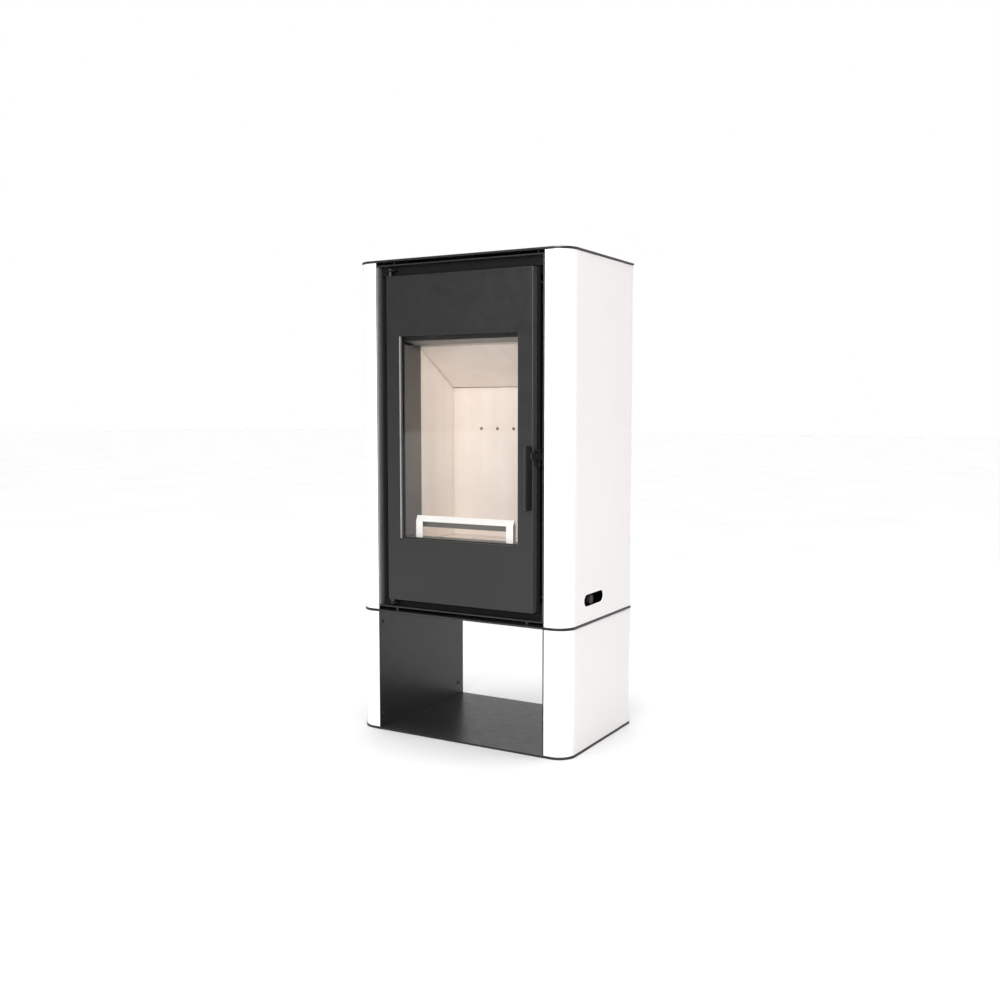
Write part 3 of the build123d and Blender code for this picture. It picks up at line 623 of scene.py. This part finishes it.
# ---- screws, pins, collars and knob -------------------------------------
def screw_set(node, radius, head, shank):
    """Detailed screws in place of a node's plain ones; each head is at its solid's wide end."""
    shapes = []
    for low, high in parts_of(node):
        size = high - low
        middle = (low + high) / 2
        if node == "store_wall_screws":
            inward = -1 if middle.x > 0 else 1
            seat = ((high.x if inward > 0 else low.x) - inward * head, middle.y, middle.z)
            shapes.append(pan_head(seat, (inward, 0, 0), radius, head, shank, size.x - head))
        else:
            seat = (middle.x, high.y - head, middle.z)
            shapes.append(pan_head(seat, (0, 1, 0), radius, head, shank, size.y - head))
    look = slot_of[node]
    attach(joined(node + "_set", shapes, LOOKS[look]), body_of[node], look, node)


screw_set("rear_screws", 0.0045, 0.0025, 0.002)
screw_set("store_wall_screws", 0.0045, 0.0022, 0.0025)
screw_set("glass_clip_screws", 0.0038, 0.0024, 0.002)


def upper_pin(low, high):
    """A pin with its head on top."""
    seat = high - PIN_HEAD
    return [(PIN_TIP_R, low), (PIN_R, low + PIN_TIP), (PIN_R, seat), (0.0062, seat),
            (PIN_HEAD_R, seat + SMALL_EDGE), (PIN_HEAD_R, high - 0.0008), (PIN_HEAD_EDGE_R, high)]


def lower_pin(low, high):
    """A pin with its head below and a shoulder that carries the door."""
    seat = low + SHOULDER_SEAT
    return [(PIN_HEAD_EDGE_R, low), (PIN_HEAD_R, low + 0.0008), (PIN_HEAD_R, low + PIN_HEAD),
            (PIN_R, low + PIN_HEAD), (PIN_R, seat), (SHOULDER_EDGE_R, seat), (SHOULDER_R, seat + SMALL_EDGE),
            (SHOULDER_R, seat + 0.0051), (SHOULDER_EDGE_R, seat + SHOULDER_LEN), (PIN_R, seat + SHOULDER_LEN),
            (PIN_R, high - PIN_TIP), (PIN_TIP_R, high)]


def spacer(r, low, high):
    """A collar with a scalloped waist."""
    lip = SPACER_LIP
    waist = lip + 0.0001
    return [(r * 0.94, low), (r, low + SMALL_EDGE), (r, low + lip), (r * 0.72, low + waist, 6, 0.05),
            (r * 0.72, high - waist, 6, 0.05), (r, high - lip), (r, high - SMALL_EDGE), (r * 0.94, high)]


pins = []
for low, high in parts_of("hinge_pins"):
    outline = upper_pin if low.z > DOOR_MIDDLE_Z else lower_pin
    place = ((low.x + high.x) / 2, (low.y + high.y) / 2, 0)
    pins.append(turned(outline(low.z, high.z), place, (0, 0, 1)))
attach(joined("hinge_pins_turned", pins, LOOKS["blackened_steel"]), "stove", "blackened_steel", "hinge_pins")

collars = []
for low, high in parts_of("plate_spacers"):
    middle = (low + high) / 2
    outline = spacer((high.x - low.x) / 2, low.z, high.z)
    collars.append(turned(outline, (middle.x, middle.y, 0), (0, 0, 1), 48))
attach(joined("plate_spacers_turned", collars, LOOKS["black_paint"]), "stove", "black_paint", "plate_spacers")

# The knob's outline, as (share of its radius, distance from its inner end): a groove near the panel and
# a slightly dished face.
KNOB_OUTLINE = [(0.86, 0), (0.98, 0.0006), (1, 0.0016), (1, 0.0045), (0.95, 0.005), (0.95, 0.0062),
                (1, 0.0067), (1, 0.0182), (0.985, 0.0192), (0.94, 0.0198), (0.88, 0.02), (0.8, 0.0198),
                (0.5, 0.0195), (0.1, 0.0194)]
low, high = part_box("air_knob")
knob_r = (high.z - low.z) / 2
knob_place = (low.x, (low.y + high.y) / 2, (low.z + high.z) / 2)
knob_shape = turned([(knob_r * share, out) for share, out in KNOB_OUTLINE], knob_place, (1, 0, 0), 64)
attach(joined("air_knob_turned", [knob_shape], KNOB_BLACK), "air_control", "black_paint", "air_knob")


# ---- rope seal ----------------------------------------------------------
def braided_loop(low, high, width, radius):
    """A braided rope laid as a rectangle with round corners, in the plane of the door."""
    x = (high.x - low.x) / 2 - width / 2
    z0 = low.z + width / 2
    z1 = high.z - width / 2
    y = (low.y + high.y) / 2
    bend = ROPE_BEND
    path = []
    corners = [(x - bend, z0 + bend, -90), (x - bend, z1 - bend, 0),
               (bend - x, z1 - bend, 90), (bend - x, z0 + bend, 180)]
    for i, (cx, cz, start) in enumerate(corners):
        for k in range(CORNER_STEPS):
            angle = math.radians(start + CORNER_STEP_DEG * k)
            path.append(Vector((cx + bend * math.cos(angle), y, cz + bend * math.sin(angle))))
        nx, nz, turn = corners[(i + 1) % 4]
        end = math.radians(turn)
        a = path[-1].copy()
        b = Vector((nx + bend * math.cos(end), y, nz + bend * math.sin(end)))
        count = max(2, int((b - a).length / ROPE_STEP))
        path += [a.lerp(b, k / count) for k in range(1, count)]
    around = ROPE_SIDES
    total = len(path)
    points = []
    faces = []
    travel = 0.0
    for i, here in enumerate(path):
        ahead = path[(i + 1) % total] - path[i - 1]
        side = ahead.normalized().cross(Vector((0, 1, 0)))
        for k in range(around):
            angle = 2 * math.pi * k / around
            strand = ROPE_STRANDS * angle
            twist = travel * ROPE_TWIST
            weave = math.sin(strand + twist) * math.sin(strand - twist)
            r = radius * (1 - ROPE_RELIEF + ROPE_RELIEF * weave)
            points.append(here + side * (r * math.cos(angle)) + Vector((0, r * math.sin(angle), 0)))
        travel += (path[(i + 1) % total] - here).length
    for i in range(total):
        j = (i + 1) % total
        for k in range(around):
            n = (k + 1) % around
            faces.append((i * around + k, i * around + n, j * around + n, j * around + k))
    return points, faces


low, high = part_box("door_rope_seal")
rope_shape = braided_loop(low, high, ROPE_WIDTH, ROPE_R)
rope = joined("door_rope_braided", [rope_shape], LOOKS["glass_fibre"], sharp=180)
attach(rope, "door", "glass_fibre", "door_rope_seal")


# ---- floor, light and camera -------------------------------------------
floor_mesh = bpy.data.meshes.new("studio_floor")
floor_corners = [(FLOOR_REACH * x, FLOOR_REACH * y, 0) for x, y in ((-1, -1), (1, -1), (1, 1), (-1, 1))]
floor_mesh.from_pydata(floor_corners, [], [(0, 1, 2, 3)])
floor = add_object("studio_floor", floor_mesh, floor_finish())

world = bpy.data.worlds.new("studio")
scene.world = world
world.use_nodes = True
tree = world.node_tree
# The room is dim in front of the stove and bright behind it, and the backdrop itself shows white.
room = tree.nodes["Background"]
room.inputs["Color"].default_value = ROOM_COLOUR
heading = tree.nodes.new("ShaderNodeSeparateXYZ")
tree.links.new(tree.nodes.new("ShaderNodeTexCoord").outputs["Generated"], heading.inputs["Vector"])
glow = tree.nodes.new("ShaderNodeMapRange")
for socket, value in (("From Min", 0.0), ("From Max", ROOM_TURN),
                      ("To Min", ROOM_FRONT), ("To Max", ROOM_BACK)):
    glow.inputs[socket].default_value = value
tree.links.new(heading.outputs["Y"], glow.inputs["Value"])
tree.links.new(glow.outputs["Result"], room.inputs["Strength"])
backdrop = tree.nodes.new("ShaderNodeBackground")
backdrop.inputs["Color"].default_value = (1.0, 1.0, 1.0, 1.0)
ray = tree.nodes.new("ShaderNodeLightPath")
choose = tree.nodes.new("ShaderNodeMixShader")
tree.links.new(ray.outputs["Is Camera Ray"], choose.inputs[0])
tree.links.new(room.outputs[0], choose.inputs[1])
tree.links.new(backdrop.outputs[0], choose.inputs[2])
tree.links.new(choose.outputs[0], tree.nodes["World Output"].inputs["Surface"])
scene.view_settings.view_transform = "Standard"


def softbox(name, place, target, size, power):
    """A rectangular lamp at place that shines towards target; size in metres, power in watts."""
    data = bpy.data.lights.new(name, "AREA")
    data.shape = "RECTANGLE"
    data.size, data.size_y = size
    data.energy = power
    lamp = bpy.data.objects.new(name, data)
    lamp.location = place
    lamp.rotation_euler = (Vector(target) - Vector(place)).to_track_quat("-Z", "Y").to_euler()
    scene.collection.objects.link(lamp)


softbox("front", place=(0.9, -3.4, 1.7), target=(0.0, 0.0, 0.7), size=(2.8, 1.8), power=168)
sky = bpy.data.lights.new("overhead", "SUN")
sky.energy = SUN_STRENGTH
sky.angle = SUN_WIDTH
sky_lamp = bpy.data.objects.new("overhead", sky)
sky_lamp.location = (0, 0, 4)
scene.collection.objects.link(sky_lamp)

camera_data = bpy.data.cameras.new("camera")
camera_data.lens = LENS_MM
camera_data.sensor_width = SENSOR_MM
camera = bpy.data.objects.new("camera", camera_data)
camera.location = CAMERA_PLACE
camera.rotation_euler = (math.radians(90) - CAMERA_DOWN, 0.0, CAMERA_TURN)
scene.collection.objects.link(camera)
scene.camera = camera
